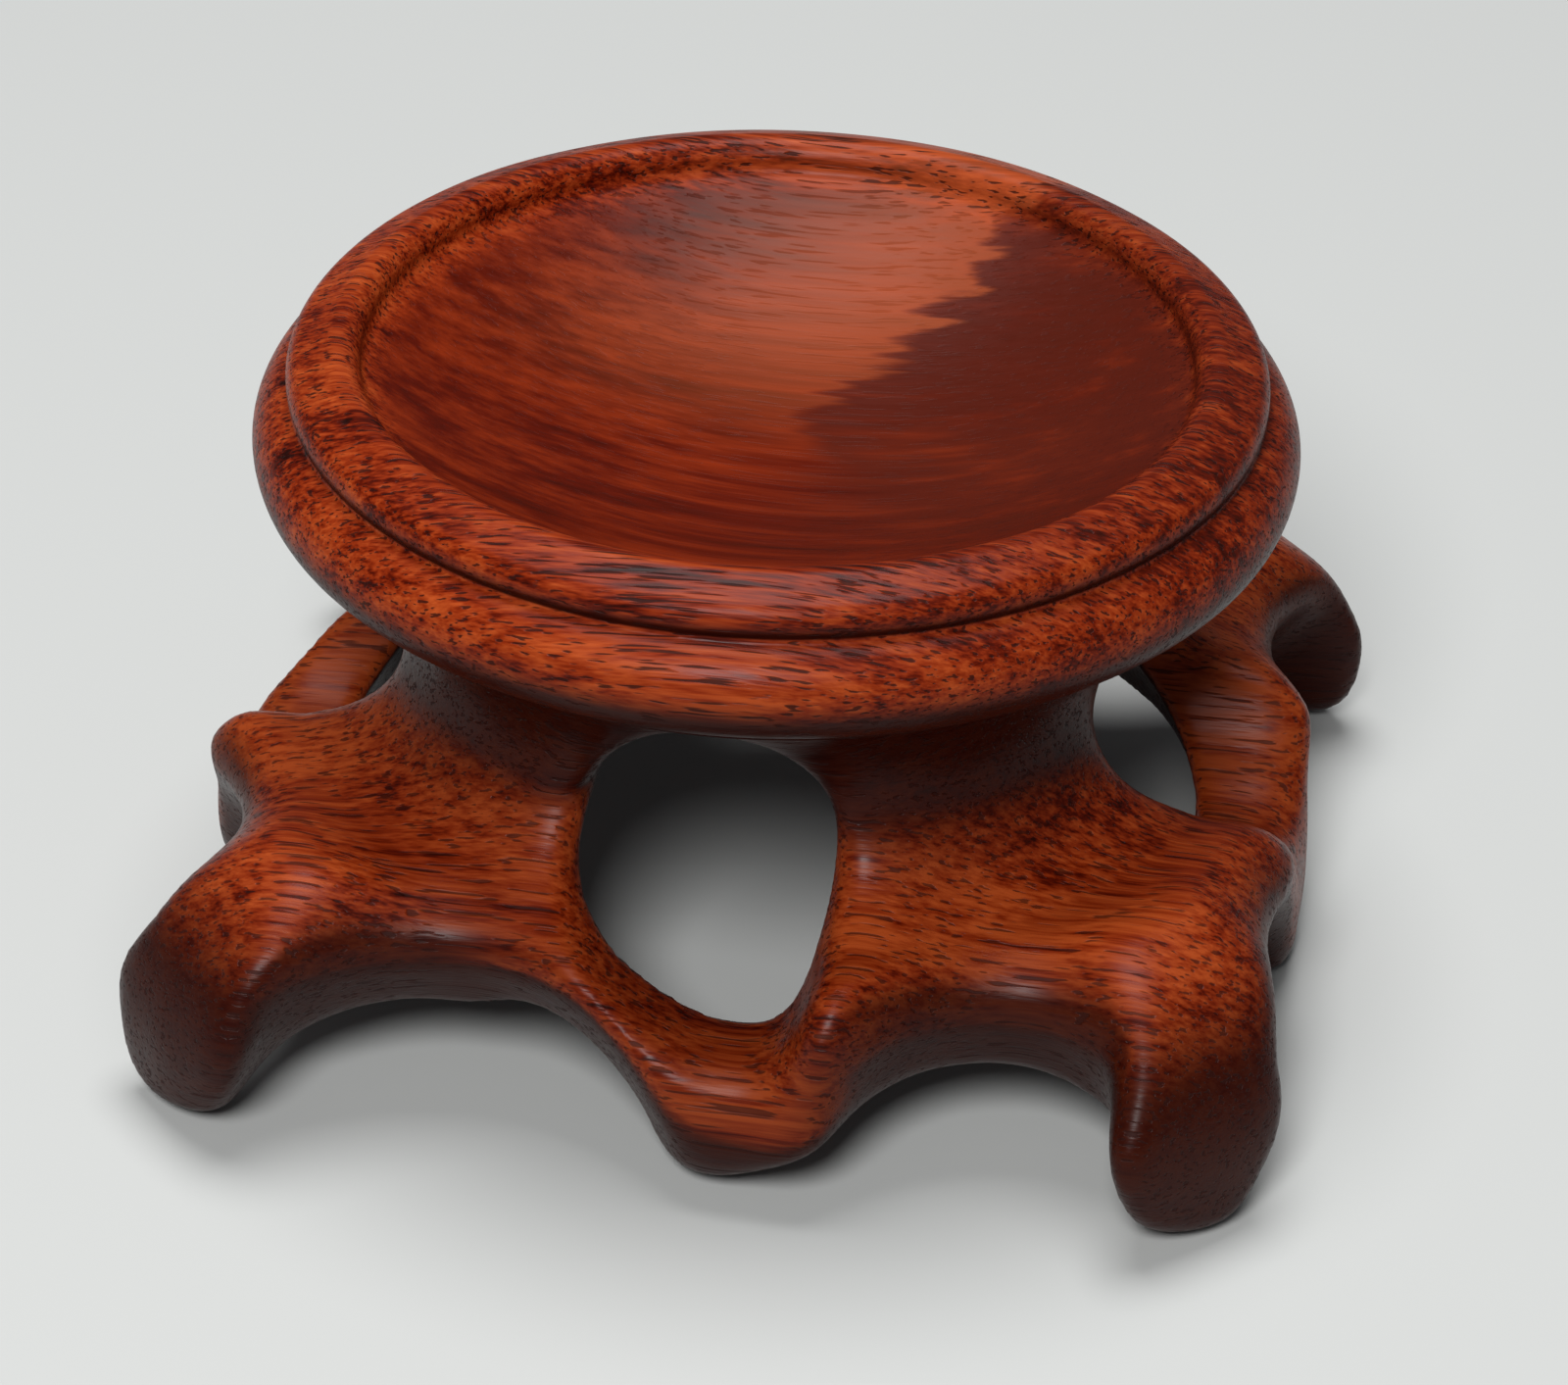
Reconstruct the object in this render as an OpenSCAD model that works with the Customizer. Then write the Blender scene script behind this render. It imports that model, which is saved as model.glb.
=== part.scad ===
// Small carved hardwood stand for a ball, an egg or a bottle.
// A turned dish with a two-roll rim stands on a base carved like roots: four corner roots,
// four small middle roots, a pierced window on each side and a hollow underneath.
// The dish's tenon goes through the neck of the base and a wedge locks it from below.
// The origin is on the table under the axis, +Z is up, and each side of the base faces X or Y.

/* [Dish] */
// Height from the table to the top of the rim
stand_h = 35; // [32:0.5:40]
// Diameter over the lower roll of the rim
dish_d = 55; // [52:0.5:60]
// Thickness of the lower roll
lower_roll_t = 5.6; // [5:0.1:6.2]
// Thickness of the upper roll
upper_roll_t = 2.4; // [2:0.1:3]
// Width of the upper roll, from the seat out to its edge
upper_roll_w = 3.9; // [3.4:0.1:4.6]
// How far the upper roll falls from the seat out to its edge
upper_roll_fall = 0.6; // [0.2:0.1:1]
// How far the upper roll's edge is set in from the lower roll's edge
roll_setback = 1.8; // [1.4:0.1:2.6]
// How far the upper roll's straight top is set in from its two rounds
roll_waist = 0.05; // [0.03:0.01:0.1]
// How far the two rolls merge at the groove between them
groove_merge = 0.35; // [0.2:0.05:0.6]
// Depth of the seat below the top of the rim
seat_depth = 7.5; // [6:0.25:8.5]
// Height of the plain list under the lower roll
list_h = 0.46; // [0.3:0.02:0.8]
// Thickness of the dish's flange below the list, down to the joint with the base
flange_t = 1; // [0.6:0.1:2]

/* [Neck and shoulder] */
// Smallest diameter of the neck
neck_d = 40; // [36:0.5:44]
// Height of the shoulder above the table
shoulder_h = 14.5; // [12:0.5:16]
// How far the neck's hollow dips below the shoulder, which leaves a ridge round it
shoulder_dip = 0.5; // [0.3:0.1:0.8]

/* [Corner roots] */
// Width of the base over its corner roots, where its sides are widest
foot_w = 62.5; // [60:0.5:65]
// Height above the table at which the sides are widest
side_z = 4.2; // [3:0.1:6]
// Radius of the curve of the sides, from the shoulder down to the table
side_r = 14.2; // [12:0.1:16]
// Diameter over the toes of the corner roots
toe_d = 77.5; // [75:0.5:80]
// Radius of the curve from the shoulder down to a toe
knee_r = 12; // [9:0.5:13]
// How far a toe draws in down to the table
toe_tuck = 1.75; // [1:0.25:3]
// Height above the table at which a toe begins to draw in
toe_tuck_h = 4; // [2:0.25:5]
// Clear distance between two corner roots
corner_gap = 44; // [42:0.5:47]
// How far each corner root is moved round, from the +X -Y corner towards +X +Y
corner_shift = [0.5, 0, 0, -0.5]; // [-2:0.5:2]

/* [Middle roots] */
// Width of the base over its middle roots
mid_w = 58.6; // [56:0.2:60]
// Width of a middle root at the table
mid_foot_w = 7; // [6:0.5:10]
// How far each middle root is off the middle of its side, from the -Y side round by +X
mid_foot_shift = [4.8, 1, 2, 3]; // [-5:0.2:5]

/* [Arches] */
// Distance from the axis to the ridge over each side's left arch, from the -Y side round by +X
left_ridge = [21.6, 26.6, 22, 20.4]; // [20:0.2:27]
// Distance from the axis to the ridge over each side's right arch
right_ridge = [20.8, 23, 22, 20.8]; // [20:0.2:27]
// Height of that ridge above the table
ridge_h = 14.2; // [13.8:0.1:14.4]
// Height of the nose below the ridge, where the arch's ceiling begins
nose_h = 11; // [10:0.25:12]
// How far the nose stands out from the ridge
nose_step = 3.4; // [2.6:0.1:4]
// How much wider than its arch the bevel from ridge to nose is, to each side
bevel_spread = 1.5; // [1:0.1:2.5]
// Height above the ridge at which the bevel stops, clear of the neck
bevel_rise = 2.3; // [1.5:0.1:3]
// Distance from the axis to the inner mouth of an arch, down to which its ceiling slopes from the nose
mouth_reach = 21; // [19.5:0.1:22]
// Height of that mouth above the table
mouth_h = 5; // [4:0.1:6]
// How far an arch's round would run on into a corner root, which stops it
arch_overrun = 3.2; // [2:0.1:4]

/* [Windows] */
// Width of a window
window_w = 14; // [11:0.5:16]
// Height of a window's top above the table
window_top = 22.3; // [21:0.1:23.5]
// Height of a window's bottom above the table
window_bottom = 8; // [7:0.25:9.5]
// Diameter of the round at a window's bottom
window_foot_d = 7.6; // [6:0.2:9]
// Share of its middle root's shift by which a window's bottom is moved
window_lean = 0.55; // [0.3:0.05:0.8]
// How far a window's straight edges are set in from its two rounds
window_waist = 0.2; // [0.1:0.05:0.5]
// Wood left between a window and the tenon's hole
window_stop = 4; // [2:0.5:6]

/* [Hollow] */
// Diameter of the hollow under the base, at the table
hollow_d = 49; // [44:0.5:50]
// Thickness of the wood between the hollow's ceiling and the dish
web_t = 5.8; // [4.8:0.1:7]
// Radius of the curve from the hollow's side to its ceiling
dome_r = 18; // [14:0.5:18.5]

/* [Tenon and wedge] */
// Diameter of the tenon under the dish
tenon_d = 14; // [11:0.5:16]
// Play between the tenon and its hole, on the diameter
tenon_play = 0.1; // [0.05:0.05:0.3]
// How far the tenon's end stays above the hollow's ceiling
tenon_recess = 0.3; // [0.1:0.1:1]
// Thickness of the wedge at its wide end
wedge_t = 1.8; // [1.4:0.1:2.4]
// Thickness of the wedge at its thin end
wedge_tip_t = 0.8; // [0.5:0.1:1.2]
// Length of the tenon above the wedge that stays whole
wedge_root = 0.5; // [0.3:0.1:1.5]
// Play between the wedge and the cut in the tenon
wedge_play = 0.04; // [0.02:0.01:0.1]

/* [Hidden] */
$fn = 96;
dish_colour = "#8c3416";
base_colour = "#7a2a12";
wedge_colour = "#a3572c";

// Rolls of the rim, as circles in the plane of the turned profile: the upper roll runs from a circle
// at the seat out to a second one at its edge
lower_r = lower_roll_t / 2;
upper_r = upper_roll_t / 2;
lower_x = dish_d / 2 - lower_r;
edge_x = dish_d / 2 - roll_setback - upper_r;
upper_x = edge_x - upper_roll_w + upper_roll_t;
upper_z = stand_h - upper_r;
edge_z = upper_z - upper_roll_fall;
roll_pitch = lower_r + upper_r - groove_merge;
lower_z = edge_z - sqrt(pow(roll_pitch, 2) - pow(lower_x - edge_x, 2));

// The seat is part of a sphere whose edge runs into the upper roll
seat_edge_x = upper_x - upper_r / 2;
seat_dip = seat_depth - upper_r;
seat_r = (pow(seat_edge_x, 2) + pow(seat_dip, 2)) / (2 * seat_dip);

// The neck is one round hollow between the shoulder and the dish's underside
underside_z = lower_z - lower_r - list_h;
joint_z = underside_z - flange_t;
neck_curve_r = (underside_z - shoulder_h + shoulder_dip) / 2;
neck_curve_x = neck_d / 2 + neck_curve_r;
neck_curve_z = underside_z - neck_curve_r;

knee_x = toe_d / 2 - knee_r;
knee_z = shoulder_h - knee_r;
tuck_lean = toe_tuck / toe_tuck_h;

// Each side is a round bar along it, hollowed in plan from its corner roots to its middle root
side_y = foot_w / 2 - side_r;
side_dip = (foot_w - mid_w) / 2;
side_dip_half = corner_gap / 2 + arch_overrun;
side_dip_r = (pow(side_dip_half, 2) + pow(side_dip, 2)) / (2 * side_dip);

// The hollow's ceiling hangs under the joint, and the tenon and its wedge end just above that ceiling
hollow_h = joint_z - web_t;
dome_x = hollow_d / 2 - dome_r;
dome_z = hollow_h - dome_r;
tenon_z = hollow_h + tenon_recess;
wedge_l = joint_z - tenon_z - wedge_root;

window_top_r = window_w / 2;
window_foot_r = window_foot_d / 2;
window_inner = (tenon_d + tenon_play) / 2 + window_stop;

// How far a cutter starts outside what it cuts, and the length of one that passes right through
past = 1;
through = foot_w + toe_d;

// Circle swept round the axis
module ring(x, z, r) {
    rotate_extrude()
        translate([x, z])
            circle(r);
}

// Round hollow of the neck, shared by the dish's flange and the base
module neck_curve() {
    ring(neck_curve_x, neck_curve_z, neck_curve_r);
}

// Wedge lying across the tenon, with its wide end level with the tenon's end
module wedge_shape(play, extra) {
    wide = wedge_t / 2 + play;
    thin = wedge_tip_t / 2 + play;
    translate([-tenon_d / 2 - extra, 0, tenon_z])
        rotate([90, 0, 90])
            linear_extrude(tenon_d + 2 * extra)
                polygon([
                    [-wide, -extra],
                    [wide, -extra],
                    [wide, 0],
                    [thin, wedge_l + play],
                    [-thin, wedge_l + play],
                    [-wide, 0],
                ]);
}

// Plate of the dish with the seat hollowed out
module seat_plate() {
    difference() {
        rotate_extrude()
            polygon([
                [0, joint_z],
                [lower_x, joint_z],
                [lower_x, lower_z],
                [edge_x, edge_z],
                [upper_x, upper_z],
                [0, upper_z],
            ]);
        translate([0, 0, stand_h - seat_depth + seat_r])
            sphere(seat_r, $fn = 180);
        neck_curve();
    }
}

// Broad upper roll, whose straight top is set in a little from its two rounds
module upper_roll() {
    inner = [upper_x, upper_z];
    outer = [edge_x, edge_z];
    run = (outer - inner) / norm(outer - inner);
    off = (upper_r - roll_waist) * [-run[1], run[0]];
    rotate_extrude()
        union() {
            translate(inner)
                circle(upper_r);
            translate(outer)
                circle(upper_r);
            polygon([
                inner + off,
                outer + off,
                outer - off,
                inner - off,
            ]);
        }
}

module tenon() {
    difference() {
        translate([0, 0, tenon_z])
            cylinder(d = tenon_d, h = joint_z - tenon_z + flange_t / 2);
        wedge_shape(wedge_play, past);
    }
}

module dish() {
    color(dish_colour)
        union() {
            seat_plate();
            upper_roll();
            ring(lower_x, lower_z, lower_r);
            tenon();
        }
}

// Turned blank of the base: neck, shoulder, knee curve and toes that draw in to the table
module turned_blank() {
    difference() {
        rotate_extrude()
            intersection() {
                union() {
                    square([neck_curve_x, joint_z]);
                    square([knee_x, shoulder_h]);
                    translate([knee_x, knee_z])
                        circle(knee_r);
                    if (knee_z > 0)
                        square([toe_d / 2, knee_z]);
                }
                polygon([
                    [0, 0],
                    [toe_d / 2 - toe_tuck, 0],
                    [toe_d / 2 - toe_tuck + tuck_lean * stand_h, stand_h],
                    [0, stand_h],
                ]);
            }
        neck_curve();
    }
}

// Bar along X that gives two opposite sides their curve, with room for the neck above it
module side_bar() {
    rotate([90, 0, 90])
        linear_extrude(through, center = true)
            union() {
                for (way = [-1, 1])
                    translate([way * side_y, side_z])
                        circle(side_r);
                translate([-neck_curve_x, side_z - side_r / 2])
                    square([2 * neck_curve_x, stand_h]);
            }
}

// Pear-shaped outline of a window, with its round foot over the middle root
module window_outline(shift) {
    top = [0, window_top - window_top_r];
    foot = [window_lean * shift, window_bottom + window_foot_r];
    lean = atan2(foot[1] - top[1], foot[0] - top[0]);
    spread = acos((window_top_r - window_foot_r) / norm(foot - top));
    left = [cos(lean - spread), sin(lean - spread)];
    right = [cos(lean + spread), sin(lean + spread)];
    top_edge = window_top_r - window_waist;
    foot_edge = window_foot_r - window_waist;
    union() {
        translate(top)
            circle(window_top_r);
        translate(foot)
            circle(window_foot_r);
        polygon([
            top + top_edge * left,
            foot + foot_edge * left,
            foot + foot_edge * right,
            top + top_edge * right,
        ]);
    }
}

module window_cut(shift) {
    translate([0, -window_inner, 0])
        rotate([90, 0, 0])
            linear_extrude(through)
                window_outline(shift);
}

// Round gouge cut of this half width, whose bottom line goes through two points, each given as its
// distance from the axis and its height
module gouge(middle, half, low, high) {
    tilt = atan2(low[0] - high[0], high[1] - low[1]);
    translate([middle, -high[0] - half * cos(tilt), high[1] + half * sin(tilt)])
        rotate([-tilt, 0, 0])
            cylinder(r = half, h = through, center = true);
}

// Arch between the middle root's edge and a corner root's face, with the bevel over it and a level
// passage in from its mouth; way is -1 for a side's left arch and 1 for its right one
module arch_cut(edge, face, ridge, way) {
    far = face + way * arch_overrun;
    middle = (edge + far) / 2;
    half = abs(far - edge) / 2;
    nose = [ridge + nose_step, nose_h];
    mouth = [mouth_reach, mouth_h];
    intersection() {
        gouge(middle, half + bevel_spread, nose, [ridge, ridge_h]);
        translate([-through / 2, -through, ridge_h + bevel_rise - through])
            cube(through);
    }
    intersection() {
        union() {
            gouge(middle, half, mouth, nose);
            gouge(middle, half, mouth, [nose[0], mouth_h]);
        }
        translate([face - (way + 1) / 2 * through, -through, -through / 2])
            cube(through);
    }
}

// Hollow in plan between two corner roots, as deep as the middle root is set in
module side_hollow() {
    translate([0, -mid_w / 2 - side_dip_r, -past])
        cylinder(r = side_dip_r, h = stand_h);
}

// Cuts of one side, counted from the -Y side round by +X
module side_carving(side) {
    shift = mid_foot_shift[side];
    half_foot = mid_foot_w / 2;
    half_gap = corner_gap / 2;
    side_hollow();
    window_cut(shift);
    arch_cut(shift - half_foot, corner_shift[(side + 3) % 4] - half_gap, left_ridge[side], -1);
    arch_cut(shift + half_foot, corner_shift[side] + half_gap, right_ridge[side], 1);
}

// Domed hollow under the base
module hollow() {
    rotate_extrude()
        intersection() {
            union() {
                translate([0, -stand_h])
                    square([hollow_d / 2, dome_z + stand_h]);
                translate([0, -stand_h])
                    square([dome_x, hollow_h + stand_h]);
                translate([dome_x, dome_z])
                    circle(dome_r);
            }
            translate([0, -past])
                square([hollow_d, hollow_h + 2 * past]);
        }
}

module root_base() {
    color(base_colour)
        difference() {
            intersection() {
                turned_blank();
                side_bar();
                rotate(90)
                    side_bar();
            }
            hollow();
            cylinder(d = tenon_d + tenon_play, h = stand_h);
            for (side = [0:3])
                rotate(90 * side)
                    side_carving(side);
        }
}

module tenon_wedge() {
    color(wedge_colour)
        intersection() {
            wedge_shape(0, 0);
            translate([0, 0, tenon_z])
                cylinder(d = tenon_d, h = wedge_l);
        }
}

dish();
root_base();
tenon_wedge();
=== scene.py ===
from math import atan2, cos, pi, radians, sin, sqrt

import bmesh
import bpy
from mathutils import Matrix, Vector, noise


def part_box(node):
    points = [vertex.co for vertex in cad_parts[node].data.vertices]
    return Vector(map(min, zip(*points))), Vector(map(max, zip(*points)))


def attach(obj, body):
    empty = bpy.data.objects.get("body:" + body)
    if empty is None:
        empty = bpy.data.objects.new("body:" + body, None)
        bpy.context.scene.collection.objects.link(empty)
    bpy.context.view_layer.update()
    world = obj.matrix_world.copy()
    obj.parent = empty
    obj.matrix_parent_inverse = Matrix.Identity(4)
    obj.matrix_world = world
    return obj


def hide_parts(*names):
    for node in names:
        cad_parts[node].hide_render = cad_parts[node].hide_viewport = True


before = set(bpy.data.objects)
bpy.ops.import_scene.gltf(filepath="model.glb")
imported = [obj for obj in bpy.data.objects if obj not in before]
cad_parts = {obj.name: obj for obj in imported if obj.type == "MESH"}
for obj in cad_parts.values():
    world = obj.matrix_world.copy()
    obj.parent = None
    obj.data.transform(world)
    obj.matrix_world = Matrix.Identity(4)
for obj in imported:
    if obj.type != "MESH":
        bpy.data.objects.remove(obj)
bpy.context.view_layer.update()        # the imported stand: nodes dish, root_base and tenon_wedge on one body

mm = 0.001
noiseMean = 0.5          # about which every noise swings
dishLow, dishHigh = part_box("dish")
baseLow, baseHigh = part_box("root_base")
wedgeLow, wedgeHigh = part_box("tenon_wedge")
print("frame loaded, nodes:", sorted(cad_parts))


class Wire:
    # One socket of a node tree. Sums and products of wires add their Math nodes.
    def __init__(self, tree, socket=None):
        self.tree = tree
        self.socket = socket

    def node(self, kind, settings=None, inputs=None, out=0):
        made = self.tree.nodes.new(kind)
        for name, value in (settings or {}).items():
            if name == "stops":
                fillRamp(made.color_ramp, value)
            else:
                setattr(made, name, value)
        for key, value in (inputs or {}).items():
            if isinstance(value, Wire):
                self.tree.links.new(value.socket, made.inputs[key])
            else:
                made.inputs[key].default_value = value
        return Wire(self.tree, made.outputs[out] if len(made.outputs) else None)

    def math(self, operation, *others):
        return self.node("ShaderNodeMath", {"operation": operation}, dict(enumerate((self, *others))))

    def flipped(self, operation, first):
        return self.node("ShaderNodeMath", {"operation": operation}, {0: first, 1: self})

    def __add__(self, other):
        return self.math("ADD", other)

    def __sub__(self, other):
        return self.math("SUBTRACT", other)

    def __mul__(self, other):
        return self.math("MULTIPLY", other)

    def __truediv__(self, other):
        return self.math("DIVIDE", other)

    def __rsub__(self, first):
        return self.flipped("SUBTRACT", first)

    def __rtruediv__(self, first):
        return self.flipped("DIVIDE", first)

    def __neg__(self):
        return self.math("MULTIPLY", -1.0)

    __radd__ = __add__

    def least(self, other):
        return self.math("MINIMUM", other)

    def most(self, other):
        return self.math("MAXIMUM", other)

    def joined(self, other, blend):       # both solids, with a hollow fillet between them
        return self.math("SMOOTH_MIN", other, blend)

    def within(self, other, blend):       # what lies in both solids, with the edge rounded over
        return self.math("SMOOTH_MAX", other, blend)

    def without(self, other, blend):      # this solid with the other cut away, with the lip rounded over
        return self.within(-other, blend)

    def root(self):
        return self.math("SQRT")

    def clamped(self):
        return self.node("ShaderNodeClamp", None, {"Value": self})

    def eased(self, low, high):           # 0 below low, 1 above high, smooth between
        limits = {"Value": self, "From Min": low, "From Max": high}
        return self.node("ShaderNodeMapRange", {"interpolation_type": "SMOOTHSTEP"}, limits)

    def parts(self):
        made = self.node("ShaderNodeSeparateXYZ", None, {0: self}).socket.node
        return [Wire(self.tree, made.outputs[axis]) for axis in range(3)]

    def mixed(self, first, second):       # two colours, mixed by this value; 6 and 7 are the colour sockets
        return self.node("ShaderNodeMix", {"data_type": "RGBA"}, {0: self, 6: first, 7: second}, out=2)


def fillRamp(ramp, stops):
    while len(ramp.elements) < len(stops):
        ramp.elements.new(0.5)
    for element, (place, colour) in zip(ramp.elements, stops):
        element.position = place
        element.color = (*colour, 1.0)


def span(*parts):
    total = parts[0] * parts[0]
    for part in parts[1:]:
        total = total + part * part
    return total.root()


def linked(name, mesh):
    piece = bpy.data.objects.new(name, mesh)
    bpy.context.scene.collection.objects.link(piece)
    return piece


def baked(piece):
    # the piece with its modifiers worked into a plain mesh
    graph = bpy.context.evaluated_depsgraph_get()
    mesh = bpy.data.meshes.new_from_object(piece.evaluated_get(graph), depsgraph=graph)
    piece.modifiers.clear()
    piece.data = mesh
    return piece


# Camera at the photograph's angle
photo = {
    "width": 1600,
    "height": 1413,
    "azimuth": 9.5,          # degrees from the front side towards +X
    "elevation": 30.15,
    "roll": 1.4,
    "distance": 330 * mm,    # from the lens to the middle of the lower roll
    "pixelsPerMm": 19.38,    # at that distance
    "rollMiddle": (792.5, 441.2),   # where that middle is in the picture
    "rollHeight": 29.4 * mm,
    "sensor": 36.0,          # its width, in the unit of the lens's focal length
    "nearest": 10 * mm,      # what is nearer to the lens isn't shown
}


def placeCamera(view):
    turn, rise, tilt = (radians(view[name]) for name in ("azimuth", "elevation", "roll"))
    toLens = Vector((sin(turn) * cos(rise), -cos(turn) * cos(rise), sin(rise)))
    flatRight = Vector((cos(turn), sin(turn), 0))
    flatUp = toLens.cross(flatRight)
    right = flatRight * cos(tilt) + flatUp * sin(tilt)
    up = flatUp * cos(tilt) - flatRight * sin(tilt)
    focal = view["pixelsPerMm"] / mm * view["distance"]      # in pixels
    offRight = view["rollMiddle"][0] - view["width"] / 2
    offDown = view["rollMiddle"][1] - view["height"] / 2
    forward = (-toLens * focal - right * offRight + up * offDown).normalized()
    right = (right - forward * right.dot(forward)).normalized()
    up = right.cross(forward)
    data = bpy.data.cameras.new("photoCamera")
    data.sensor_width = view["sensor"]
    data.lens = focal / view["width"] * view["sensor"]
    data.clip_start = view["nearest"]
    camera = bpy.data.objects.new("photoCamera", data)
    spot = Vector((0, 0, view["rollHeight"])) + toLens * view["distance"]
    camera.matrix_world = Matrix.Translation(spot) @ Matrix((right, up, -forward)).transposed().to_4x4()
    bpy.context.scene.collection.objects.link(camera)
    bpy.context.scene.camera = camera


placeCamera(photo)
print("camera placed")


# Rosewood: a solid figure that runs along X through dish and base alike, the grain's sizes in mm
dishWood = {
    "dark": (0.016, 0.002, 0.001),
    "deep": (0.085, 0.005, 0.0006),
    "middle": (0.21, 0.02, 0.0027),
    "light": (0.38, 0.06, 0.011),
    "stops": (0.1, 0.34, 0.56, 1.0),   # tones at which these four colours lie
    "heart": (0.072, 0.0088, 0.0036),
    # paler wood beside the heartwood, towards the back also a painted sheen
    "blond": (0.5, 0.1, 0.028),
    "bands": (60, 9, 0.34),        # broad bands: length, width and share in the figure
    "streaks": (26, 1.3, 0.32),
    "fibres": (7, 0.36, 0.5),
    "fine": (2.2, 0.15, 0.2),
    "middleTone": 0.5,
    "lift": 0.06,                  # how much paler the wood is than the middle tone
    "contrast": 3.1,
    "pores": (5, 0.2),
    "poreFrom": 0.57,              # the lower, the more of them
    "poreSpan": 0.08,              # how softly they begin
    "poreShare": 0.85,
    "waver": 1.6,                  # how far the grain wanders
    "waverSize": 18,
    "heartShare": 0.88,            # brown heartwood over the +X side
    "blondAndSheenShare": 0.42,            # paler wood along its edge, towards the back of the seat also a painted sheen
    "polish": 0.85,                # how much the polish of the seat softens the grain
    "underShade": 0.97,            # painted shade on faces that look down
    "underFrom": (-0.25, 0.4),     # how far down they look where it begins and where it is full
    "steepShade": 0.0,             # painted shade on the steep faces of the corner roots
    "footShade": 0.0,              # painted shade on their feet
    "neckShade": 0.0,              # painted shade in the hollow of the neck
    "roughness": 0.34,
    "fibreRoughness": 0.3,         # what fibres and pores add to it
    "poreRoughness": 0.2,
    "poreDepth": 0.05 * mm,
    "fibreRelief": 0.6,            # of fibres and fine threads, next to the depth of a pore
    "fineRelief": 0.5,
    "reliefStrength": 0.7,
    "specular": 0.1,
    "seed": 3.0,
}
baseWood = dict(dishWood, fibres=(18, 0.42, 0.66), lift=0.21, contrast=2.7, pores=(12, 0.24),
                poreShare=0.7, heartShare=0.0, blondAndSheenShare=0.0, polish=0.0, underShade=0.95,
                underFrom=(-0.2, 0.3), steepShade=0.89, footShade=0.95, neckShade=0.93, specular=0.11,
                seed=7.0)
wedgeWood = dict(dishWood, deep=(0.2, 0.06, 0.02), middle=(0.32, 0.11, 0.04), light=(0.44, 0.17, 0.07),
                 heartShare=0.0, blondAndSheenShare=0.0, polish=0.0, underShade=0.0, roughness=0.6, seed=11.0)

# Where on the stand the figure and the painted shade change; a pair says where a change begins and where it
# is full
woodPlaces = {
    "seatReach": (22 * mm, 20 * mm),       # the polished seat, from the axis
    "seatHeight": (26 * mm, 27 * mm),
    "seatCalm": 0.4,                       # how much the polish softens its bands
    "seatTone": 0.19,                      # how much it deepens the tone
    "seatSmooth": 0.8,                     # how much it evens out the relief
    "heartBend": 5 * mm,                   # y at which the heartwood's edge bends
    "heartStart": 1 * mm,                  # x of the edge there
    "heartSlants": (0.66, 0.25),           # of the edge, behind the bend and in front of it
    "heartRagged": (11, 2.5),              # how far streaks and fibres draw the edge out, in mm
    "heartSharp": 1,                       # half the edge's width, in mm
    "heartFades": 3 * mm,                  # y from which it grows wider towards the front
    "heartFading": 0.6,                    # by how much
    "heartReach": (22.5 * mm, 21 * mm),    # from the axis; inside, the heartwood is twice as strong
    "heartDepth": (-16 * mm, 2 * mm),      # y over which it grows stronger
    "heartLeast": 0.28,                    # its share in front of that
    "heartMore": 0.22,                     # what is added behind that
    "heartBroken": 1.8,                    # how far pale streaks break it up
    "blondNear": (-24, -3),                # the paler wood, in mm from the heartwood's edge
    "blondAndSheenDepth": (-1 * mm, 14 * mm),      # and in y, growing towards the back, where the paler wood also stands for a painted sheen
    "cornerPlace": (140 * mm ** 2, 330 * mm ** 2),   # x times y where the corner roots begin
    "cornerLeast": 0.4,                    # share of their painted shade that the sides' middles have
    "steepFrom": (-0.98, -0.5),            # how far down a steep face looks
    "footHeight": (14.6 * mm, 9 * mm),
    "neckHeight": (14.4 * mm, 18.5 * mm),
}


def heartwood(wood, spots, x, y, streaks, fibres):
    # shares of the brown heartwood and of the paler wood beside it, the paler wood towards the back partly a
    # painted sheen
    bend, (behind, before) = spots["heartBend"], spots["heartSlants"]
    edge = x - (y - bend).most(0) * behind - (bend - y).most(0) * before - spots["heartStart"]
    byStreaks, byFibres = spots["heartRagged"]
    ragged = edge / mm + (streaks - noiseMean) * byStreaks + (fibres - noiseMean) * byFibres
    soft = (spots["heartFades"] - y).most(0) * (spots["heartFading"] / mm) + spots["heartSharp"]
    heart = ragged.eased(-soft, soft)
    beside = ragged.eased(*spots["blondNear"]) * y.eased(*spots["blondAndSheenDepth"]) * (1 - heart)
    strength = y.eased(*spots["heartDepth"]) * spots["heartMore"] + spots["heartLeast"]
    inside = (span(x, y).eased(*spots["heartReach"]) + 1) * strength
    broken = 1 - (streaks - noiseMean).most(0) * spots["heartBroken"]
    return heart * inside * broken * wood["heartShare"], beside * wood["blondAndSheenShare"]


def paintedShade(wood, spots, x, y, z, facesUp):
    # share of the painted shade that lies on steep faces, on feet, in the neck and on faces that look down
    least = spots["cornerLeast"]
    corners = (x * y).math("ABSOLUTE").eased(*spots["cornerPlace"]) * (1 - least) + least
    steep = (-facesUp).eased(*spots["steepFrom"]) * wood["steepShade"]
    shade = steep.most(z.eased(*spots["footHeight"]) * wood["footShade"]) * corners
    shade = shade.most(z.eased(*spots["neckHeight"]) * wood["neckShade"])
    return shade.most((-facesUp).eased(*wood["underFrom"]) * wood["underShade"])


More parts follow.
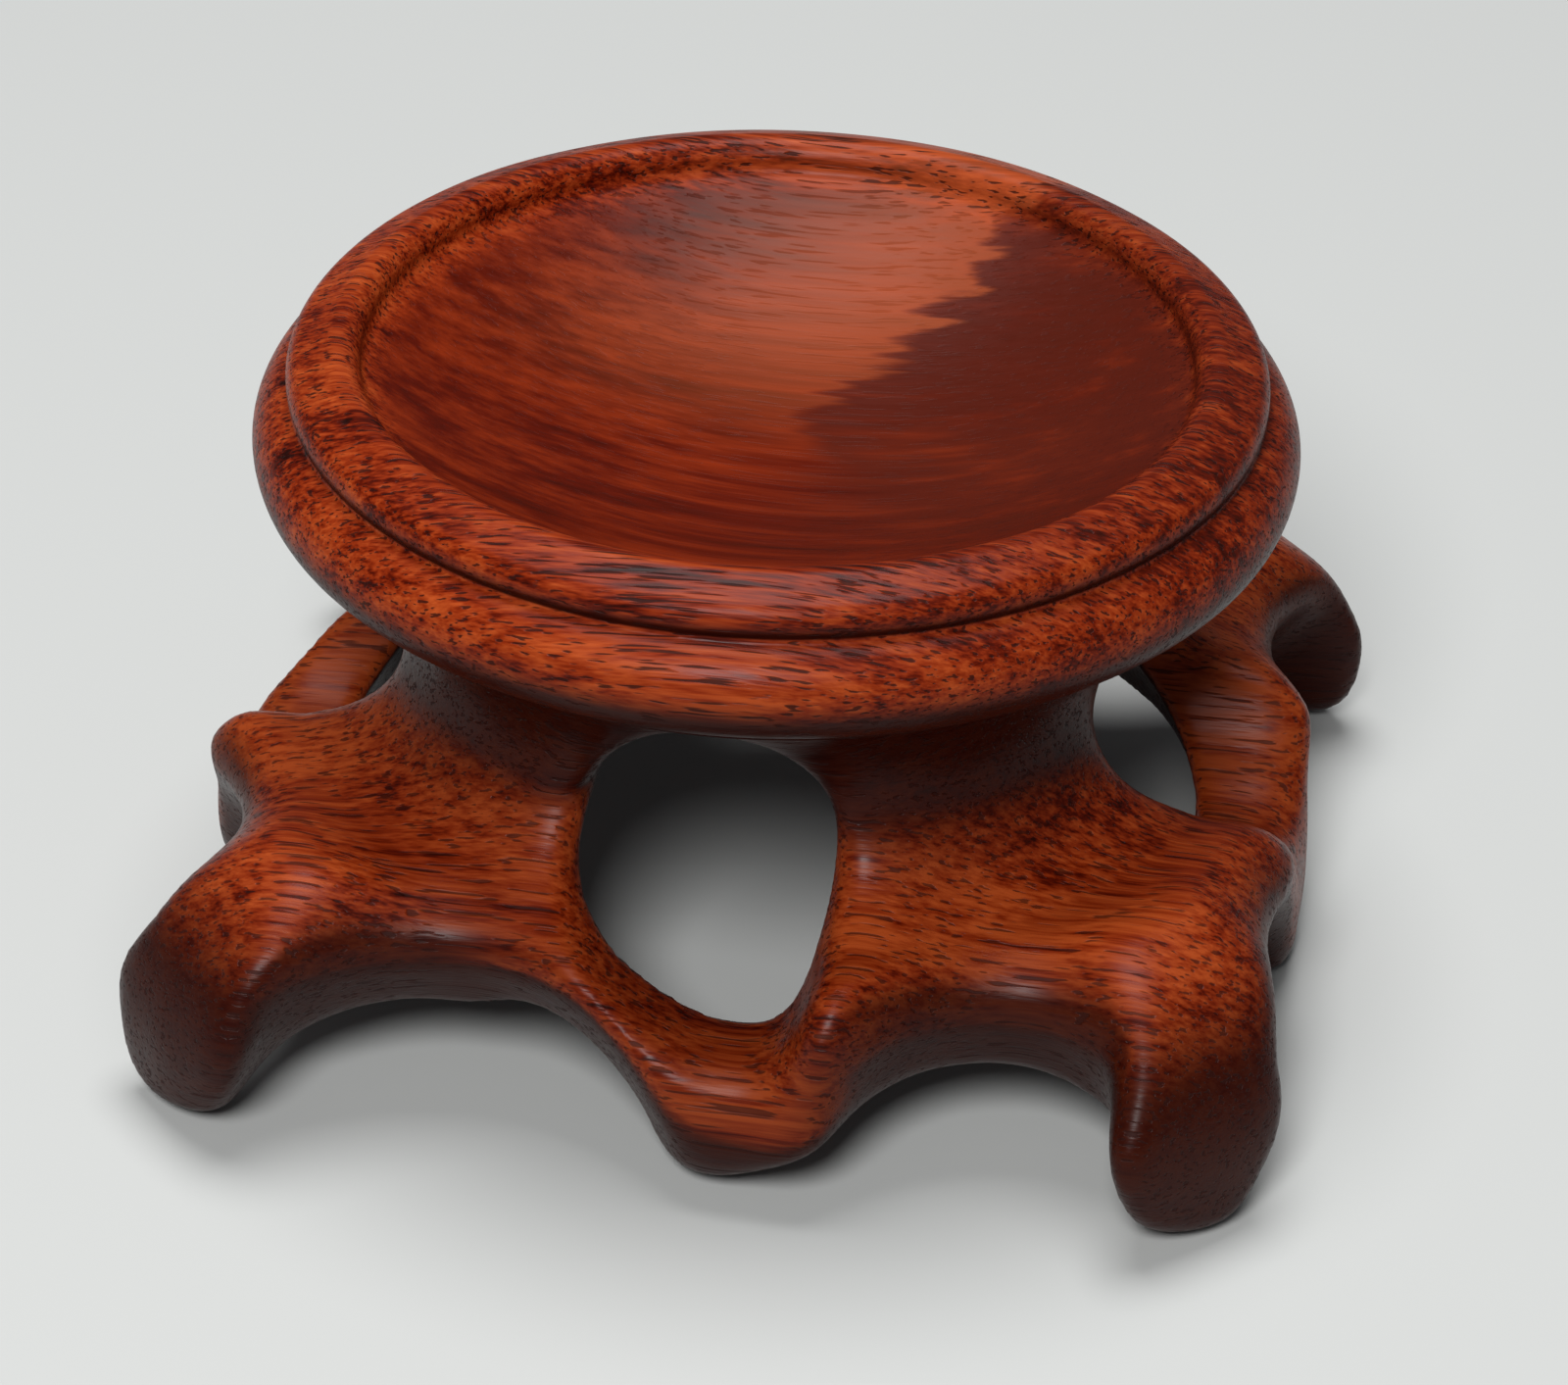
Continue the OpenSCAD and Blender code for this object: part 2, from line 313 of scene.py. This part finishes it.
def rosewood(name, wood, spots):
    material = bpy.data.materials.new(name)
    material.use_nodes = True
    material.node_tree.nodes.clear()
    wire = Wire(material.node_tree)
    place = wire.node("ShaderNodeTexCoord", out="Object")
    x, y, z = place.parts()
    facesUp = wire.node("ShaderNodeTexCoord", out="Normal").parts()[2]
    perMm = wire.node("ShaderNodeVectorMath", {"operation": "SCALE"}, {0: place, "Scale": 1 / mm})

    def cloud(spot, detail, rough, step, out="Fac"):
        inputs = {"Vector": spot, "W": wood["seed"] + step, "Scale": 1.0}
        inputs.update({"Detail": detail, "Roughness": rough})
        return wire.node("ShaderNodeTexNoise", {"noise_dimensions": "4D"}, inputs, out)

    slow = wire.node("ShaderNodeMapping", None, {"Vector": perMm, "Scale": (1 / wood["waverSize"],) * 3})
    swing = cloud(slow, detail=1.0, rough=0.5, step=9.0, out="Color")
    drift = {0: swing, 1: (0.0, wood["waver"], wood["waver"]), 2: perMm}
    wandering = wire.node("ShaderNodeVectorMath", {"operation": "MULTIPLY_ADD"}, drift)

    def grain(part, detail, step, rough=0.55):   # noise drawn out along X
        length, width = wood[part][:2]
        drawn = {"Vector": wandering, "Scale": (1 / length, 1 / width, 1 / width)}
        return cloud(wire.node("ShaderNodeMapping", None, drawn), detail, rough, step)

    bands = grain("bands", detail=2.0, step=0.0)
    streaks = grain("streaks", detail=2.0, step=1.0)
    fibres = grain("fibres", detail=3.0, step=2.0, rough=0.6)
    fine = grain("fine", detail=1.0, step=3.0)
    pores = grain("pores", detail=1.0, step=4.0).eased(wood["poreFrom"], wood["poreFrom"] + wood["poreSpan"])
    seat = span(x, y).eased(*spots["seatReach"]) * z.eased(*spots["seatHeight"]) * wood["polish"]
    share = {part: wood[part][2] for part in ("bands", "streaks", "fibres", "fine")}
    broad = (bands - noiseMean) * share["bands"] + (streaks - noiseMean) * share["streaks"]
    threads = (fibres - noiseMean) * share["fibres"] + (fine - noiseMean) * share["fine"]
    tone = (broad * (1 - seat * spots["seatCalm"]) + threads * (1 - seat)) * wood["contrast"]
    tone = tone + (wood["middleTone"] + wood["lift"]) - seat * spots["seatTone"]
    stops = list(zip(wood["stops"], (wood[part] for part in ("dark", "deep", "middle", "light"))))
    colour = wire.node("ShaderNodeValToRGB", {"stops": stops}, {"Fac": tone.clamped()})
    brown, blond = heartwood(wood, spots, x, y, streaks, fibres)
    colour = blond.mixed(colour, (*wood["blond"], 1))
    colour = brown.mixed(colour, (*wood["heart"], 1))
    # painted shade: the darkest colour laid over steep faces, feet, the neck and faces that look down
    colour = paintedShade(wood, spots, x, y, z, facesUp).mixed(colour, (*wood["dark"], 1))
    colour = (pores * (1 - seat) * wood["poreShare"]).mixed(colour, (*wood["dark"], 1))
    rough = wood["roughness"] + (fibres - noiseMean) * wood["fibreRoughness"] + pores * wood["poreRoughness"]
    height = fibres * wood["fibreRelief"] + fine * wood["fineRelief"] - pores
    height = height * (1 - seat * spots["seatSmooth"])
    relief = {"Strength": wood["reliefStrength"], "Distance": wood["poreDepth"], "Height": height}
    shader = wire.node("ShaderNodeBsdfPrincipled", None, {
        "Base Color": colour,
        "Roughness": rough,
        "Normal": wire.node("ShaderNodeBump", None, relief),
        "Specular IOR Level": wood["specular"],
    })
    wire.node("ShaderNodeOutputMaterial", None, {"Surface": shader})
    return material


dishMaterial = rosewood("dishRosewood", dishWood, woodPlaces)
baseMaterial = rosewood("baseRosewood", baseWood, woodPlaces)
wedgeMaterial = rosewood("wedgeHardwood", wedgeWood, woodPlaces)
print("wood materials made")


# The dish: one turned outline swept round the axis, with a slot for the wedge in its tenon
dishTurning = {
    "lowerRoll": 2.8 * mm,        # radius of the lower roll of the rim
    "upperRoll": 1.2 * mm,
    "upperWidth": 3.9 * mm,       # of the upper roll, from the seat out to its edge
    "upperFall": 0.6 * mm,        # how far it falls on the way
    "setback": 1.8 * mm,          # of the upper roll's edge from the lower roll's edge
    "merge": 0.35 * mm,           # how far the two rolls run into each other
    "grooveFillet": 0.3 * mm,     # radius in the bottom of the groove
    "lipFillet": 0.8 * mm,        # radius where the seat meets the upper roll
    "seatDepth": 7.5 * mm,
    "list": 0.46 * mm,            # plain step under the lower roll
    "neckRadius": 20.0 * mm,
    "neckFoot": 14.0 * mm,        # where the neck's hollow ends below
    "tenonRadius": 7.0 * mm,
    "segments": 256,
    "arcStep": 6.0,               # degrees of arc between two points of the outline
    "seatStep": 1.0,
    "unevenness": 0.06 * mm,
    "unevenSize": 11.0 * mm,
    "unevenFade": 2.0 * mm,       # over which it grows, from the joint up
    "closest": 0.01 * mm,         # points of the outline that are nearer than this are one
    "slotPlay": 0.04 * mm,
    "slotPast": 1.0 * mm,
    "wedgeTip": 0.4 * mm,         # half the wedge's thickness at its thin end
}


def arc(middle, radius, start, end, stepDegrees):
    count = max(2, round(abs(end - start) / radians(stepDegrees)))
    angles = [start + (end - start) * i / count for i in range(count + 1)]
    return [(middle[0] + radius * cos(a), middle[1] + radius * sin(a)) for a in angles]


def angleTo(middle, point, lowest=-pi):   # direction in radians, from lowest up to a turn more
    return (atan2(point[1] - middle[1], point[0] - middle[0]) - lowest) % (2 * pi) + lowest


def touching(first, firstReach, second, secondReach, side):
    # point that lies firstReach from first and secondReach from second, to the right (1) or left (-1)
    gap = sqrt((second[0] - first[0]) ** 2 + (second[1] - first[1]) ** 2)
    ahead = ((second[0] - first[0]) / gap, (second[1] - first[1]) / gap)
    along = (gap ** 2 + firstReach ** 2 - secondReach ** 2) / (2 * gap)
    off = side * sqrt(firstReach ** 2 - along ** 2)
    return (first[0] + ahead[0] * along + ahead[1] * off, first[1] + ahead[1] * along - ahead[0] * off)


def dishOutline(t):
    rim, top, joint = dishHigh.x, dishHigh.z, baseHigh.z
    step = t["arcStep"]
    edge = (rim - t["setback"] - t["upperRoll"], top - t["upperRoll"] - t["upperFall"])
    upper = (edge[0] - t["upperWidth"] + 2 * t["upperRoll"], top - t["upperRoll"])
    slope = angleTo(upper, edge) + pi / 2
    pitch = t["lowerRoll"] + t["upperRoll"] - t["merge"]
    lowerX = rim - t["lowerRoll"]
    lower = (lowerX, edge[1] - sqrt(pitch ** 2 - (lowerX - edge[0]) ** 2))
    groove = touching(lower, t["lowerRoll"] + t["grooveFillet"], edge, t["upperRoll"] + t["grooveFillet"], 1)
    seatEdge = upper[0] - t["upperRoll"] / 2
    dip = t["seatDepth"] - t["upperRoll"]
    seatRadius = (seatEdge ** 2 + dip ** 2) / (2 * dip)
    seat = (0, top - t["seatDepth"] + seatRadius)
    lip = touching(upper, t["upperRoll"] + t["lipFillet"], seat, seatRadius - t["lipFillet"], -1)
    under = lower[1] - t["lowerRoll"] - t["list"]
    neckCurve = (under - t["neckFoot"]) / 2
    neck = (t["neckRadius"] + neckCurve, under - neckCurve)
    listEnd = neck[1] + sqrt(neckCurve ** 2 - (neck[0] - lowerX) ** 2)
    jointX = neck[0] - sqrt(neckCurve ** 2 - (joint - neck[1]) ** 2)
    points = arc(seat, seatRadius, -pi / 2, angleTo(seat, lip), t["seatStep"])
    points += arc(lip, t["lipFillet"], angleTo(seat, lip), angleTo(lip, upper), 2 * step)
    points += arc(upper, t["upperRoll"], angleTo(upper, lip, 0), slope, step)
    points += arc(edge, t["upperRoll"], slope, angleTo(edge, groove), step)
    points += arc(groove, t["grooveFillet"], angleTo(groove, edge, 0), angleTo(groove, lower, 0), 2 * step)
    points += arc(lower, t["lowerRoll"], angleTo(lower, groove), -pi / 2, step)
    points += arc(neck, neckCurve, angleTo(neck, (lowerX, listEnd)), angleTo(neck, (jointX, joint)), step)
    points += [(t["tenonRadius"], joint), (t["tenonRadius"], dishLow.z), (0, dishLow.z)]
    kept = points[:1]
    for point in points[1:]:
        if sqrt((point[0] - kept[-1][0]) ** 2 + (point[1] - kept[-1][1]) ** 2) > t["closest"]:
            kept.append(point)
    return kept


def sweep(outline, count):
    # outline from the axis to the axis, turned into a closed solid
    body = bmesh.new()
    poles = [body.verts.new((0, 0, outline[end][1])) for end in (0, -1)]
    rings = []
    for radius, height in outline[1:-1]:
        angles = [2 * pi * i / count for i in range(count)]
        rings.append([body.verts.new((radius * cos(a), radius * sin(a), height)) for a in angles])
    for i in range(count):
        after = (i + 1) % count
        body.faces.new((poles[0], rings[0][i], rings[0][after]))
        body.faces.new((poles[1], rings[-1][after], rings[-1][i]))
        for ring, following in zip(rings, rings[1:]):
            body.faces.new((ring[i], following[i], following[after], ring[after]))
    bmesh.ops.recalc_face_normals(body, faces=body.faces)
    return body


def roughen(body, t, floor):
    # hand turning is never quite true: a slow waver above the joint
    body.normal_update()
    moves = []
    for vert in body.verts:
        if vert.co.z > floor:
            fade = min(1.0, (vert.co.z - floor) / t["unevenFade"])
            waver = noise.noise(vert.co / t["unevenSize"]) * t["unevenness"]
            moves.append((vert, vert.normal * waver * fade))
    for vert, move in moves:
        vert.co += move


def prism(name, outline, half):
    # outline in Y and Z, drawn out along X to both sides
    count = len(outline)
    points = [(side * half, y, z) for side in (-1, 1) for y, z in outline]
    faces = [tuple(reversed(range(count))), tuple(range(count, 2 * count))]
    faces += [(i, (i + 1) % count, count + (i + 1) % count, count + i) for i in range(count)]
    mesh = bpy.data.meshes.new(name)
    mesh.from_pydata(points, [], faces)
    return linked(name, mesh)


def makeDish(t):
    body = sweep(dishOutline(t), t["segments"])
    roughen(body, t, baseHigh.z)
    mesh = bpy.data.meshes.new("turned_dish")
    body.to_mesh(mesh)
    body.free()
    dish = linked("turned_dish", mesh)
    wide, thin = wedgeHigh.y + t["slotPlay"], t["wedgeTip"] + t["slotPlay"]
    low, high = wedgeLow.z, wedgeHigh.z + t["slotPlay"]
    below = low - t["slotPast"]
    slot = [(-wide, below), (wide, below), (wide, low), (thin, high), (-thin, high), (-wide, low)]
    cutter = prism("slotCutter", slot, wedgeHigh.x + t["slotPast"])
    cut = dish.modifiers.new("slot", "BOOLEAN")
    cut.operation, cut.solver, cut.object = "DIFFERENCE", "EXACT", cutter
    baked(dish)
    bpy.data.objects.remove(cutter)
    dish.data.shade_smooth()
    return dish


dish = makeDish(dishTurning)
dish.data.materials.clear()
dish.data.materials.append(dishMaterial)
print("dish turned:", len(dish.data.polygons), "faces")


# The base: a rule for how deep each point lies in the wood, carved out of a block of small cells
rootSizes = {
    "neckRadius": 20.0 * mm,
    "neckCurve": 6.15 * mm,        # radius of the neck's hollow
    "neckMiddle": 20.15 * mm,      # its height
    "neckBlend": 2.0 * mm,
    "kneeReach": 28.0 * mm,        # middle of the knee's curve, from the axis
    "kneeHeight": 3.7 * mm,
    "kneeCurve": 10.8 * mm,
    "sideReach": 17.4 * mm,        # middle of the curve of the sides, from the axis
    "sideHeight": 4.2 * mm,
    "sideTop": 14.4 * mm,          # where that curve goes over into the neck
    "sideCurve": 14.2 * mm,
    "sideBlend": 2.6 * mm,
    "middleReach": 29.4 * mm,      # how far out the middle roots stand
    "tuck": 0.25 * mm,             # how far the toes draw in at the table
    "tuckBlend": 1.4 * mm,
    "footLeanBlend": 3.0 * mm,     # where a side begins to draw in
    "cornerTaper": 0.2,            # lean of a corner root's upright faces
    "taperTop": 7.0 * mm,          # height at which it begins
    "windowHeight": 15.3 * mm,     # middle of a window
    "windowHalfWidth": 6.5 * mm,
    "windowHalfHeight": 6.8 * mm,
    "windowLean": 0.55,            # how far its foot follows the middle root's shift
    "windowEnd": 11.0 * mm,        # where it stops inside, from the axis
    "windowEndBlend": 2.0 * mm,
    "windowBlend": 5.0 * mm,
    "ridgeHeight": 14.2 * mm,      # upper edge of the bevel over an arch
    "noseHeight": 11.0 * mm,       # lower edge of that bevel, where the arch begins
    "noseStep": 3.4 * mm,          # how far it stands out from the upper edge
    "mouthReach": 21.0 * mm,       # inner mouth of an arch, from the axis
    "mouthHeight": 5.0 * mm,
    "mouthBlend": 2.0 * mm,
    "bevelSpread": 1.5 * mm,       # how much wider than the arch the bevel is, to each side
    "bevelTop": 16.5 * mm,         # where it is clear of the neck
    "bevelBlend": 3.0 * mm,
    "archBlend": 3.0 * mm,
    "middleFoot": 3.5 * mm,        # half a middle root's width at the table
    "cornerReach": 22.0 * mm,      # from a side's middle to its corner roots
    "archOverrun": 3.2 * mm,       # how far an arch's round would run on into a corner root
    "cornerBlend": 2.4 * mm,       # where the corner root's upright face stops it
    "domeReach": 6.5 * mm,         # middle of the curve in the hollow below
    "domeHeight": 1.5 * mm,
    "domeCurve": 18.0 * mm,
    "domeBlend": 1.6 * mm,
    "tenonHole": 7.05 * mm,
    "holeBlend": 0.2 * mm,
    "footBlend": 3.2 * mm,         # the feet are rounded over below like knobs
    "footDrop": 0.08 * mm,         # which would lift them off the table by this much
    "carveDepth": 0.5 * mm,        # unevenness of the carving
    "carveSize": 7.0 * mm,
    "seed": 4.0,
}
ridgeReach = {                     # how far from the axis the ridge over each arch lies
    "frontLeftRidge": 21.6 * mm,
    "frontRightRidge": 20.8 * mm,
    "rightLeftRidge": 26.6 * mm,
    "rightRightRidge": 23.0 * mm,
    "backLeftRidge": 22.0 * mm,
    "backRightRidge": 22.0 * mm,
    "leftLeftRidge": 20.4 * mm,
    "leftRightRidge": 22.8 * mm,
}
rootShifts = {                     # how far each root is moved along its side, as each was carved by eye
    "frontMiddle": 4.8 * mm,
    "rightMiddle": 1.0 * mm,
    "backMiddle": 2.0 * mm,
    "leftMiddle": 3.0 * mm,
    "frontRightCorner": 0.5 * mm,
    "backRightCorner": 0.0,
    "backLeftCorner": 0.0,
    "frontLeftCorner": 0.3 * mm,
}
footReach = {                      # how far out each side stands on the table
    "frontFoot": 26.9 * mm,
    "rightFoot": 30.4 * mm,
    "backFoot": 28.0 * mm,
    "leftFoot": 30.2 * mm,
}
rootSides = [                      # each side, its turn, and the corners at its left and right ends
    ("front", 0, "frontLeftCorner", "frontRightCorner"),
    ("right", 1, "frontRightCorner", "backRightCorner"),
    ("back", 2, "backRightCorner", "backLeftCorner"),
    ("left", 3, "backLeftCorner", "frontLeftCorner"),
]
rootRule = {
    "cell": 0.42 * mm,
    "margin": 1.2 * mm,            # of cells round the wood
    "fade": 1.6 * mm,              # over which the cells' density falls from 1 to 0
    "skin": 0.5,                   # density at the wood's surface
    "footLean": 0.75,              # how steeply a side draws in towards the table
    "tuckLean": 0.06,              # and how steeply a toe does
    "sawReach": 1e-7,              # how near to the saw's plane a point counts as on it
}


def sideways(x, y, turn):
    # along the side, and out from the axis
    return [(x, -y), (y, x), (-x, y), (-y, -x)][turn]


def leanCut(out, z, foot, lean):   # distance past a plane that leans out by lean as it rises
    return (out - (foot + z * lean)) * (1 / sqrt(1 + lean * lean))


def windowCut(s, along, out, z, shift):
    # oval whose lower half leans towards the middle root
    rise = (z - s["windowHeight"]) / s["windowHalfHeight"]
    drop = rise.least(0)
    aside = (along - shift * s["windowLean"] * drop * drop) / s["windowHalfWidth"]
    oval = (span(aside, rise) - 1) * s["windowHalfWidth"]
    return oval.within(s["windowEnd"] - out, s["windowEndBlend"])


def gougeCut(along, out, z, middle, half, low, high):
    # round gouge of this half width, whose bottom line goes through two points (reach and height)
    run, rise = high[0] - low[0], high[1] - low[1]
    deep = ((out - high[0]) * rise - (z - high[1]) * run) / span(run, rise) - half
    return span(along - middle, deep) - half


def rootDepth(wire, s, rule):
    # negative inside the wood, in metres
    position = wire.node("GeometryNodeInputPosition")
    x, y, z = position.parts()
    radius = span(x, y)
    knee = span((radius - s["kneeReach"]).most(0), (z - s["kneeHeight"]).most(0)) - s["kneeCurve"]
    neckOuter = s["neckRadius"] + s["neckCurve"]
    neckHollow = span(radius - neckOuter, z - s["neckMiddle"]) - s["neckCurve"]
    wood = knee.least(radius - neckOuter).without(neckHollow, s["neckBlend"])
    toe = s["kneeReach"] + s["kneeCurve"] - s["tuck"]
    wood = wood.within(leanCut(radius, z, toe, rule["tuckLean"]), s["tuckBlend"])
    for name, turn, _, _ in rootSides:
        along, out = sideways(x, y, turn)
        rise = z.least(s["sideTop"]) - s["sideHeight"]
        side = span((out - s["sideReach"]).most(0), rise) - s["sideCurve"]
        bow = along / s["cornerReach"]
        widest = s["sideReach"] + s["sideCurve"] - s["middleReach"]
        side = side.most(out - s["middleReach"] - bow * bow * widest)
        wood = wood.within(side, s["sideBlend"])
        drawnIn = leanCut(out, z, s[name + "Foot"], rule["footLean"])
        wood = wood.within(drawnIn, s["footLeanBlend"])
    for name, turn, left, right in rootSides:
        along, out = sideways(x, y, turn)
        shift = s[name + "Middle"]
        wood = wood.without(windowCut(s, along, out, z, shift), s["windowBlend"])
        for end, corner, way in (("Left", s[left], -1), ("Right", s[right], 1)):
            face = corner + s["cornerReach"] * way
            far = face + s["archOverrun"] * way
            near = shift + s["middleFoot"] * way
            middle, half = (far + near) * 0.5, (far - near) * (0.5 * way)
            ridge = s[name + end + "Ridge"], s["ridgeHeight"]
            nose = ridge[0] + s["noseStep"], s["noseHeight"]
            mouth = s["mouthReach"], s["mouthHeight"]
            bevel = gougeCut(along, out, z, middle, half + s["bevelSpread"], nose, ridge)
            bevel = bevel.most(z - s["bevelTop"])
            wood = wood.without(bevel, s["bevelBlend"])
            passage = span(along - middle, z - s["mouthHeight"] + half) - half
            arch = gougeCut(along, out, z, middle, half, mouth, nose).joined(passage, s["mouthBlend"])
            upright = (along - face) * way - (s["taperTop"] - z).most(0) * s["cornerTaper"]
            arch = arch.within(upright, s["cornerBlend"])
            wood = wood.without(arch, s["archBlend"])
    dome = span((radius - s["domeReach"]).most(0), (z - s["domeHeight"]).most(0)) - s["domeCurve"]
    wood = wood.without(dome, s["domeBlend"])
    dents = {"Vector": position, "W": s["seed"], "Scale": 1 / s["carveSize"], "Detail": 1.0}
    dent = wire.node("ShaderNodeTexNoise", {"noise_dimensions": "4D"}, dents)
    wood = wood + (dent - noiseMean) * s["carveDepth"]
    wood = wood.without(radius - s["tenonHole"], s["holeBlend"])
    return wood.within(-z - s["footDrop"], s["footBlend"])


def growRoots(sizes, rule, material):
    tree = bpy.data.node_groups.new("carvedRoots", "GeometryNodeTree")
    tree.interface.new_socket("Geometry", in_out="OUTPUT", socket_type="NodeSocketGeometry")
    keys = {}
    for name in sizes:
        keys[name] = tree.interface.new_socket(name, in_out="INPUT", socket_type="NodeSocketFloat").identifier
    inside = tree.nodes.new("NodeGroupInput")
    wire = Wire(tree)
    s = {name: Wire(tree, inside.outputs[name]) for name in sizes}
    density = (rule["skin"] - rootDepth(wire, s, rule) / rule["fade"]).clamped()
    margin = Vector((1, 1, 1)) * rule["margin"]
    low, high = baseLow - margin, baseHigh + margin
    cells = [round(extent / rule["cell"]) for extent in high - low]
    block = wire.node("GeometryNodeVolumeCube", None, {
        "Density": density, "Min": low, "Max": high,
        "Resolution X": cells[0], "Resolution Y": cells[1], "Resolution Z": cells[2],
    })
    skin = wire.node("GeometryNodeVolumeToMesh", None, {"Volume": block, "Threshold": rule["skin"]})
    whole = wire.node("GeometryNodeRealizeInstances", None, {"Geometry": skin})
    dressed = wire.node("GeometryNodeSetMaterial", None, {"Geometry": whole, "Material": material})
    wire.node("NodeGroupOutput", None, {0: dressed})
    piece = linked("carved_roots", bpy.data.meshes.new("carved_roots"))
    rules = piece.modifiers.new("carvedRoots", "NODES")
    rules.node_group = tree
    for name, value in sizes.items():
        rules[keys[name]] = value
    return baked(piece)


def cutLevel(piece, height, reach):
    # saws the piece off level at this height and closes the cut
    body = bmesh.new()
    body.from_mesh(piece.data)
    every = list(body.verts) + list(body.edges) + list(body.faces)
    plane = {"plane_co": (0, 0, height), "plane_no": (0, 0, 1)}
    cut = bmesh.ops.bisect_plane(body, geom=every, dist=reach, clear_outer=True, **plane)
    edges = [part for part in cut["geom_cut"] if isinstance(part, bmesh.types.BMEdge)]
    bmesh.ops.triangle_fill(body, edges=edges, use_beauty=True, normal=(0, 0, 1))
    bmesh.ops.recalc_face_normals(body, faces=body.faces)
    body.to_mesh(piece.data)
    body.free()


roots = growRoots({**rootSizes, **ridgeReach, **rootShifts, **footReach}, rootRule, baseMaterial)
cutLevel(roots, baseHigh.z, rootRule["sawReach"])
roots.data.shade_smooth()
print("roots carved:", len(roots.data.polygons), "faces")

# The wedge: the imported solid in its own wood
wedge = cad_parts["tenon_wedge"]
wedge.data.materials.clear()
wedge.data.materials.append(wedgeMaterial)

for piece, node, slot in ((dish, "dish", "dish_wood"), (roots, "root_base", "base_wood")):
    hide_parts(node)
    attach(piece, "root")


# Studio: a pale floor, a dim pale sky, a wide soft lamp overhead and a smaller one in front
studio = {
    "floorSize": 4.0,
    "floorColour": (0.53, 0.54, 0.53),
    "floorRoughness": 0.9,
    "skyColour": (0.93, 0.96, 1.0),
    "skyLevel": 0.1,
    "lamps": [                 # name, place, aimed at, size, watts
        ("overhead", (-0.04, 0.1, 0.66), (0, 0, 0.02), 0.42, 3.6),
        ("front", (-0.02, -0.5, 0.5), (0, 0, 0.015), 0.22, 3.7),
    ],
}


def lightStudio(look):
    half = look["floorSize"] / 2
    mesh = bpy.data.meshes.new("floor")
    corners = [(-half, -half, 0), (half, -half, 0), (half, half, 0), (-half, half, 0)]
    mesh.from_pydata(corners, [], [(0, 1, 2, 3)])
    floor = linked("floor", mesh)
    material = bpy.data.materials.new("paleFloor")
    material.use_nodes = True
    shader = material.node_tree.nodes["Principled BSDF"]
    shader.inputs["Base Color"].default_value = (*look["floorColour"], 1)
    shader.inputs["Roughness"].default_value = look["floorRoughness"]
    mesh.materials.append(material)
    world = bpy.data.worlds.new("paleSky")
    world.use_nodes = True
    sky = world.node_tree.nodes["Background"]
    sky.inputs["Color"].default_value = (*look["skyColour"], 1)
    sky.inputs["Strength"].default_value = look["skyLevel"]
    bpy.context.scene.world = world
    for name, place, target, size, watts in look["lamps"]:
        data = bpy.data.lights.new(name, "AREA")
        data.shape, data.size, data.energy = "DISK", size, watts
        lamp = bpy.data.objects.new(name, data)
        lamp.location = place
        lamp.rotation_euler = (Vector(target) - Vector(place)).to_track_quat("-Z", "Y").to_euler()
        bpy.context.scene.collection.objects.link(lamp)
    bpy.context.scene.view_settings.view_transform = "Standard"


lightStudio(studio)
print("studio lit")
